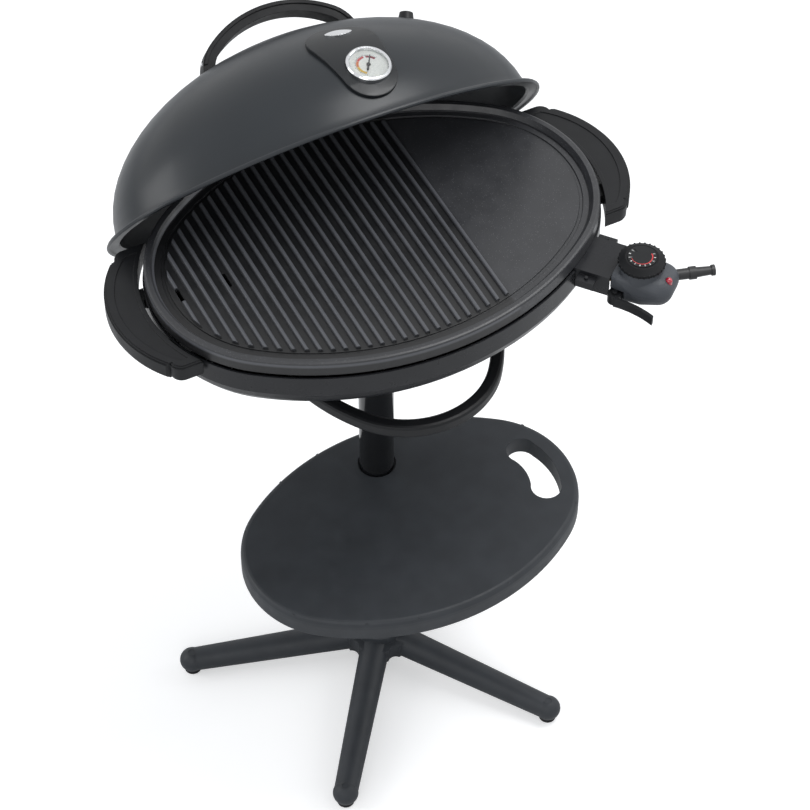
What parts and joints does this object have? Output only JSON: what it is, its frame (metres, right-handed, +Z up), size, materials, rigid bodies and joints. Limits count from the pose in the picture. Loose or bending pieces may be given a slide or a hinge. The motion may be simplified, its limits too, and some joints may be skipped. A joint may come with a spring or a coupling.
{
  "type": "electric grill with stand and lid",
  "caption": "Oval electric grill on a column stand with a star foot and a shelf: ribbed plate over a bowl, plug-in thermostat, side handles, and a domed lid parked behind the plate.",
  "frame": {"origin": "on the floor, on the axis of the column", "axes": "+Z up; +X along the long axis of the plate, to the cook's right; -Y towards the cook, with the lid parked at +Y"},
  "size_m": [0.6484, 0.548, 0.9695],
  "materials": {
    "black_plastic": "satin",
    "bowl_enamel": "satin",
    "brass_sleeve": "satin",
    "ceramic_block": "matte",
    "chrome_trim": "polished",
    "clear_glass": "polished",
    "cord_rubber": "matte",
    "dial_white": "satin",
    "element_steel": "satin",
    "gloss_tube": "gloss",
    "lid_enamel": "satin",
    "nonstick": "satin",
    "pointer_black": "matte",
    "red_lens": "gloss",
    "rubber_foot": "matte",
    "satin_plastic": "satin",
    "steel_screw": "satin",
    "tray_metal": "satin"
  },
  "bodies": {
    "stand": {"foot_star": "satin_plastic", "foot_pads": "rubber_foot", "column_bolt": "steel_screw", "lower_tube": "gloss_tube", "upper_tube": "gloss_tube", "shelf_bracket": "satin_plastic", "bracket_screws": "steel_screw", "shelf": "satin_plastic", "shelf_screws": "steel_screw"},
    "head": {"head_socket": "black_plastic", "socket_screws": "steel_screw", "bowl": "bowl_enamel", "table_ring": "black_plastic", "ring_screws": "steel_screw", "handle_left": "black_plastic", "handle_right": "black_plastic", "handle_screws": "steel_screw", "drip_tray": "tray_metal", "heat_reflector": "tray_metal", "plate_rests": "steel_screw", "grill_plate": "nonstick", "heating_element": "element_steel", "element_clips": "steel_screw", "terminal_block": "ceramic_block", "terminal_pins": "steel_screw", "socket_guard": "bowl_enamel", "guard_screws": "steel_screw", "lid_rest": "bowl_enamel", "lid_rest_screws": "steel_screw"},
    "lid": {"lid_shell": "lid_enamel", "lid_handle": "black_plastic", "lid_handle_screws": "steel_screw", "vent_cap": "black_plastic", "thermometer_panel": "lid_enamel", "lid_badge": "chrome_trim", "thermometer_bezel": "chrome_trim", "thermometer_dial": "dial_white", "thermometer_glass": "clear_glass", "thermometer_stem": "steel_screw", "stem_nut": "steel_screw"},
    "pointer": {"thermometer_pointer": "pointer_black"},
    "thermostat": {"thermostat_top": "satin_plastic", "thermostat_base": "satin_plastic", "thermostat_screws": "steel_screw", "sensor_probe": "steel_screw", "contact_sleeves": "brass_sleeve", "pilot_lens": "red_lens", "lever_pin": "steel_screw", "cord_sleeve": "cord_rubber"},
    "knob": {"temperature_knob": "black_plastic", "knob_disc": "black_plastic"},
    "lever": {"release_lever": "black_plastic"}
  },
  "joints": [
    {"name": "head_lift", "type": "slide", "parent": "stand", "child": "head", "axis": [0, 0, 1], "range_m": [0, 0.06]},
    {"name": "lid_tilt", "type": "hinge", "parent": "head", "child": "lid", "pos_m": [0, 0.1255, 0.7774], "axis": [1, 0, 0], "range_deg": [0, 26]},
    {"name": "pointer_turn", "type": "hinge", "parent": "lid", "child": "pointer", "pos_m": [0.0355, 0.08455, 0.95749], "axis": [0.0986, -0.119, 0.988], "range_deg": [-250, 0]},
    {"name": "thermostat_pull", "type": "slide", "parent": "head", "child": "thermostat", "axis": [0.6428, -0.766, 0], "range_m": [0, 0.1]},
    {"name": "knob_turn", "type": "hinge", "parent": "thermostat", "child": "knob", "pos_m": [0.24631, -0.17842, 0.79], "axis": [0, 0, 1], "range_deg": [-270, 0]},
    {"name": "lever_squeeze", "type": "hinge", "parent": "thermostat", "child": "lever", "pos_m": [0.21035, -0.18379, 0.7585], "axis": [0, 0, 1], "range_deg": [0, 10], "stiffness_Nm_per_rad": 0.3, "springref_deg": -5.73}
  ]
}
